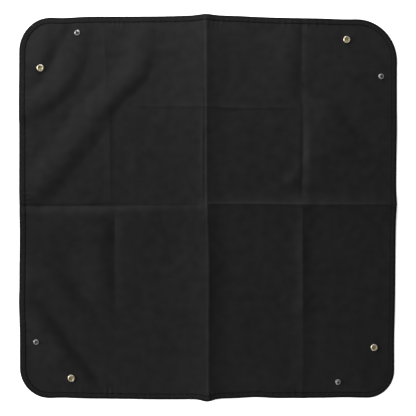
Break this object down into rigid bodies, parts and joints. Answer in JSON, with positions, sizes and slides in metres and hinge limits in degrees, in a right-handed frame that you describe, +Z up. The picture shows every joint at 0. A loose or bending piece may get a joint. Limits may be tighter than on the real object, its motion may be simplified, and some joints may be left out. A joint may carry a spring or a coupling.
{
  "type": "repotting mat",
  "caption": "Square proofed-cloth work mat with bound edges and snap fasteners that pinch its corners into an open tray.",
  "frame": {"origin": "under the middle of the open mat, on the surface that it lies on", "axes": "+X to the mat's right, +Y to its back and +Z up from its underside to its working face"},
  "size_m": [0.676, 0.684, 0.0071],
  "materials": {
    "cloth": "near-black proofed Oxford weave, matt with a faint sheen",
    "binding": "black woven binding tape",
    "brass": "aged brass plate, satin",
    "nickel": "dull nickel plate",
    "spring_steel": "plain spring wire"
  },
  "bodies": {
    "base": {"base_panel": "cloth"},
    "wall_right": {"wall_right": "cloth", "binding_right": "binding"},
    "wall_back": {"wall_back": "cloth", "binding_back": "binding"},
    "wall_left": {"wall_left": "cloth", "binding_left": "binding"},
    "wall_front": {"wall_front": "cloth", "binding_front": "binding"},
    "back_right_socket_flap": {"back_right_socket_flap": "cloth", "binding_back_right_socket_flap": "binding", "socket_back_right": "brass", "spring_back_right": "spring_steel", "cap_back_right": "brass"},
    "back_right_stud_flap": {"back_right_stud_flap": "cloth", "binding_back_right_stud_flap": "binding", "stud_back_right": "nickel", "post_back_right": "nickel"},
    "back_left_socket_flap": {"back_left_socket_flap": "cloth", "binding_back_left_socket_flap": "binding", "socket_back_left": "brass", "spring_back_left": "spring_steel", "cap_back_left": "brass"},
    "back_left_stud_flap": {"back_left_stud_flap": "cloth", "binding_back_left_stud_flap": "binding", "stud_back_left": "nickel", "post_back_left": "nickel"},
    "front_left_socket_flap": {"front_left_socket_flap": "cloth", "binding_front_left_socket_flap": "binding", "socket_front_left": "brass", "spring_front_left": "spring_steel", "cap_front_left": "brass"},
    "front_left_stud_flap": {"front_left_stud_flap": "cloth", "binding_front_left_stud_flap": "binding", "stud_front_left": "nickel", "post_front_left": "nickel"},
    "front_right_socket_flap": {"front_right_socket_flap": "cloth", "binding_front_right_socket_flap": "binding", "socket_front_right": "brass", "spring_front_right": "spring_steel", "cap_front_right": "brass"},
    "front_right_stud_flap": {"front_right_stud_flap": "cloth", "binding_front_right_stud_flap": "binding", "stud_front_right": "nickel", "post_front_right": "nickel"}
  },
  "joints": [
    {"name": "fold_right", "type": "hinge", "parent": "base", "child": "wall_right", "pos_m": [0.22247, -0.00388, 0.0026], "axis": [-0.0175, -0.9998, 0], "range_deg": [0, 85]},
    {"name": "fold_back", "type": "hinge", "parent": "base", "child": "wall_back", "pos_m": [0.00395, 0.22647, 0.0026], "axis": [0.9998, -0.0175, 0], "range_deg": [0, 85]},
    {"name": "fold_left", "type": "hinge", "parent": "base", "child": "wall_left", "pos_m": [-0.22247, 0.00388, 0.0026], "axis": [0.0175, 0.9998, 0], "range_deg": [0, 85]},
    {"name": "fold_front", "type": "hinge", "parent": "base", "child": "wall_front", "pos_m": [-0.00395, -0.22647, 0.0026], "axis": [-0.9998, 0.0175, 0], "range_deg": [0, 85]},
    {"name": "pinch_back_right_socket_flap", "type": "hinge", "parent": "wall_back", "child": "back_right_socket_flap", "pos_m": [0.22642, 0.22258, 0.0026], "axis": [0.0175, 0.9998, 0], "range_deg": [0, 42.5]},
    {"name": "pinch_back_right_stud_flap", "type": "hinge", "parent": "wall_right", "child": "back_right_stud_flap", "pos_m": [0.22642, 0.22258, 0.0026], "axis": [-0.9998, 0.0175, 0], "range_deg": [0, 42.5]},
    {"name": "pinch_back_left_socket_flap", "type": "hinge", "parent": "wall_left", "child": "back_left_socket_flap", "pos_m": [-0.21851, 0.23035, 0.0026], "axis": [-0.9998, 0.0175, 0], "range_deg": [0, 42.5]},
    {"name": "pinch_back_left_stud_flap", "type": "hinge", "parent": "wall_back", "child": "back_left_stud_flap", "pos_m": [-0.21851, 0.23035, 0.0026], "axis": [-0.0175, -0.9998, 0], "range_deg": [0, 42.5]},
    {"name": "pinch_front_left_socket_flap", "type": "hinge", "parent": "wall_front", "child": "front_left_socket_flap", "pos_m": [-0.22642, -0.22258, 0.0026], "axis": [-0.0175, -0.9998, 0], "range_deg": [0, 42.5]},
    {"name": "pinch_front_left_stud_flap", "type": "hinge", "parent": "wall_left", "child": "front_left_stud_flap", "pos_m": [-0.22642, -0.22258, 0.0026], "axis": [0.9998, -0.0175, 0], "range_deg": [0, 42.5]},
    {"name": "pinch_front_right_socket_flap", "type": "hinge", "parent": "wall_right", "child": "front_right_socket_flap", "pos_m": [0.21851, -0.23035, 0.0026], "axis": [0.9998, -0.0175, 0], "range_deg": [0, 42.5]},
    {"name": "pinch_front_right_stud_flap", "type": "hinge", "parent": "wall_front", "child": "front_right_stud_flap", "pos_m": [0.21851, -0.23035, 0.0026], "axis": [0.0175, 0.9998, 0], "range_deg": [0, 42.5]}
  ],
  "couplings": [
    {"joint": "fold_right", "follows": "fold_back", "ratio": 1},
    {"joint": "fold_left", "follows": "fold_back", "ratio": 1},
    {"joint": "fold_front", "follows": "fold_back", "ratio": 1},
    {"joint": "pinch_back_right_socket_flap", "follows": "fold_back", "ratio": 0.5},
    {"joint": "pinch_back_right_stud_flap", "follows": "fold_back", "ratio": 0.5},
    {"joint": "pinch_back_left_socket_flap", "follows": "fold_back", "ratio": 0.5},
    {"joint": "pinch_back_left_stud_flap", "follows": "fold_back", "ratio": 0.5},
    {"joint": "pinch_front_left_socket_flap", "follows": "fold_back", "ratio": 0.5},
    {"joint": "pinch_front_left_stud_flap", "follows": "fold_back", "ratio": 0.5},
    {"joint": "pinch_front_right_socket_flap", "follows": "fold_back", "ratio": 0.5},
    {"joint": "pinch_front_right_stud_flap", "follows": "fold_back", "ratio": 0.5}
  ]
}
